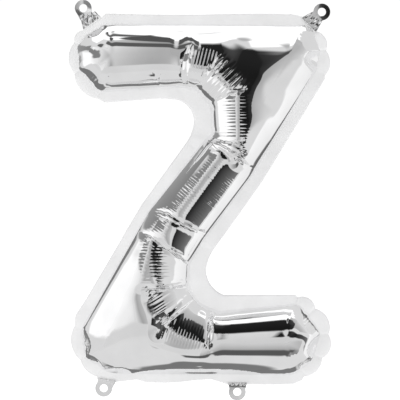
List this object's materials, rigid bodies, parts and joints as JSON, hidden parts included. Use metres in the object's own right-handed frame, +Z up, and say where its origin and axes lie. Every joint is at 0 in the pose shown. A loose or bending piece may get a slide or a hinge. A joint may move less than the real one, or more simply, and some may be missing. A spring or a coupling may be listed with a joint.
{
  "type": "letter foil balloon",
  "caption": "Air-filled mirror-foil letter Z: two round-blown film sheets joined by a flat scalloped heat-sealed margin, with a flat inflation neck and punched hanging tabs.",
  "frame": {"origin": "midway between the centres of the holes of the two upper hanging tabs, on the plane of the sealed margin", "axes": "+Z up the letter, -Y out of the front of the letter towards the viewer, +X to the right as the letter is read"},
  "size_m": [0.2538, 0.08, 0.3875],
  "materials": {
    "mirror_foil": "vacuum-metallised plastic film, bright silver mirror, blown tight",
    "sealed_film": "two layers of the same metallised film heat-sealed flat, pale silver",
    "tab_film": "heat-sealed metallised film, creased, bright silver",
    "neck_film": "flat crumpled metallised film, silver"
  },
  "bodies": {
    "root": {"front_panel": "mirror_foil", "back_panel": "mirror_foil", "sealed_margin": "sealed_film", "inflation_neck": "neck_film", "hang_tab_top_left": "tab_film", "hang_tab_top_right": "tab_film", "hang_tab_bottom_left": "tab_film", "hang_tab_bottom_right": "tab_film"}
  },
  "joints": []
}
